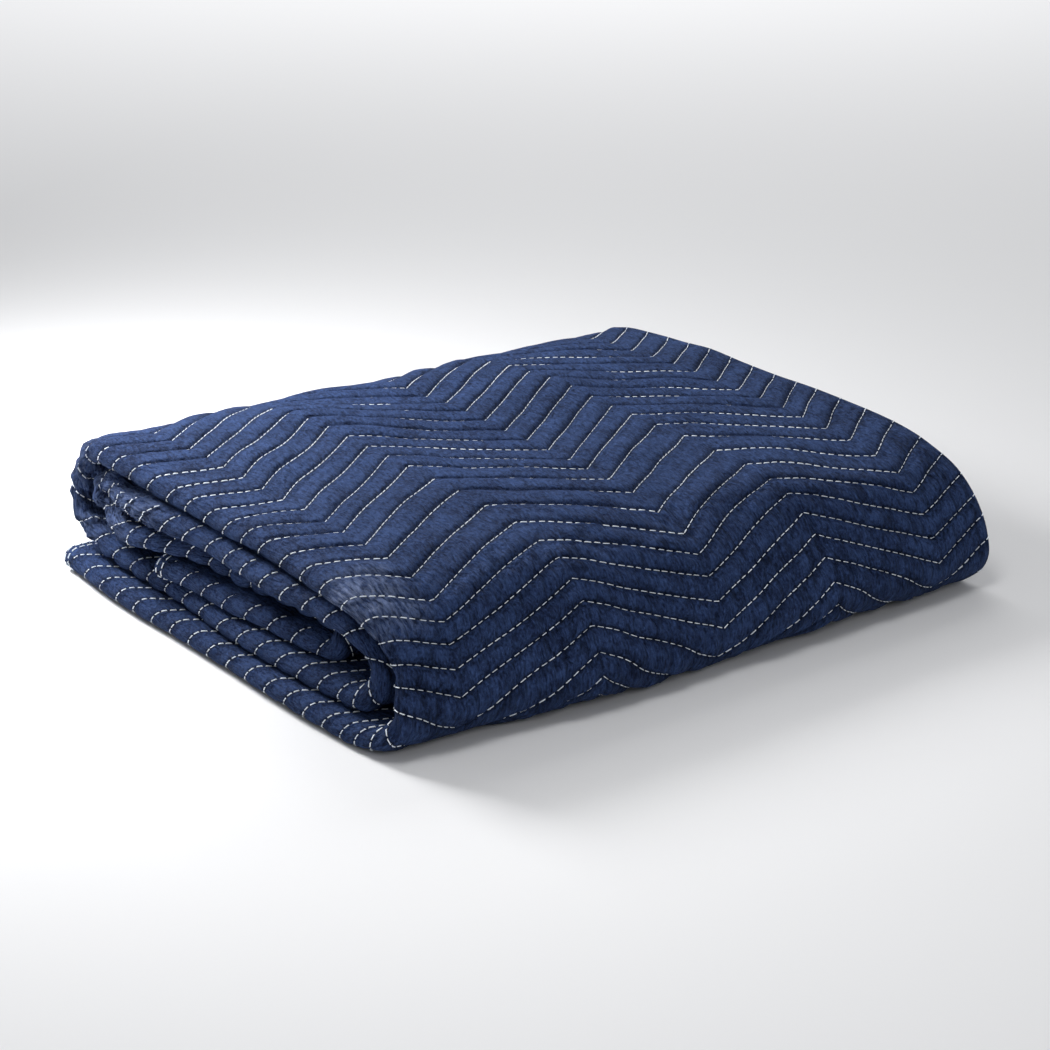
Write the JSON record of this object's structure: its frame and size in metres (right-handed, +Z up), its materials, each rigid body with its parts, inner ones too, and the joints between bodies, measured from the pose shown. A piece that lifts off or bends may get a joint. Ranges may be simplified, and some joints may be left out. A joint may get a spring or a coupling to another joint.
{
  "type": "moving blanket",
  "caption": "Quilted moving blanket with zigzag stitching, folded across its width and rolled flat for storage; wraps and pads furniture in transit.",
  "frame": {"origin": "centre of the bounding box, on the surface that the blanket rests on", "axes": "+X along the folds, from the folded rims to the hemmed side edges; +Y from the front fold to the back; +Z up"},
  "size_m": [0.441, 0.3862, 0.0968],
  "materials": {
    "quilted_cloth": "matte navy brushed non-woven polyester over cotton batting, quilted in soft channels",
    "white_thread": "matte white quilting thread in a running stitch"
  },
  "bodies": {
    "root": {"blanket": "quilted_cloth"}
  },
  "joints": []
}
